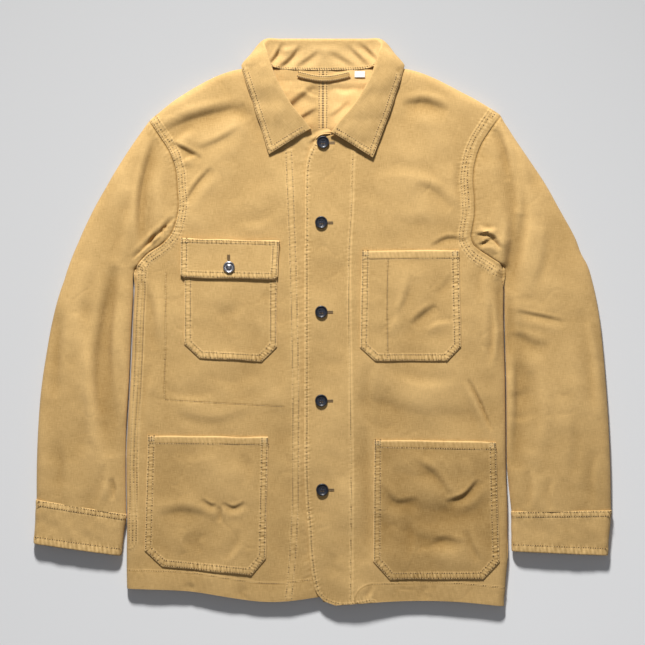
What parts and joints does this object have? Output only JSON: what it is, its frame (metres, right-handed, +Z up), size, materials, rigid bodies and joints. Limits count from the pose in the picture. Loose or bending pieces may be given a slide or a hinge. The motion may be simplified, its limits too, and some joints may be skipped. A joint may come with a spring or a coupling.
{
  "type": "chore jacket",
  "caption": "Cotton canvas chore jacket laid flat and buttoned, with a turned-down collar, patch pockets on the chest and hips, a chest flap and plain cuffs.",
  "frame": {"origin": "on the surface that the jacket lies on, under the middle of its box", "axes": "+X to the wearer's left, +Y from the hem to the collar, +Z up from the surface to the fronts"},
  "size_m": [0.8394, 0.8238, 0.0301],
  "materials": {
    "canvas": "washed cotton canvas, matt",
    "canvas_double": "washed cotton canvas, doubled and topstitched, matt",
    "button_resin": "dark glossy resin",
    "button_metal": "aged metal",
    "label_cloth": "plain white tape"
  },
  "bodies": {
    "root": {"back_left": "canvas", "back_right": "canvas", "front_left": "canvas", "front_right": "canvas", "chest_pocket_left": "canvas", "chest_pocket_right": "canvas", "hip_pocket_left": "canvas", "hip_pocket_right": "canvas", "sleeve_left_top": "canvas", "sleeve_left_under": "canvas", "sleeve_right_top": "canvas", "sleeve_right_under": "canvas", "collar": "canvas_double", "cuff_left": "canvas_double", "cuff_right": "canvas_double", "pocket_flap": "canvas_double", "hanger_loop": "canvas_double", "button_1": "button_resin", "button_2": "button_resin", "button_3": "button_resin", "button_4": "button_resin", "button_5": "button_resin", "flap_button": "button_metal", "neck_label": "label_cloth"}
  },
  "joints": []
}
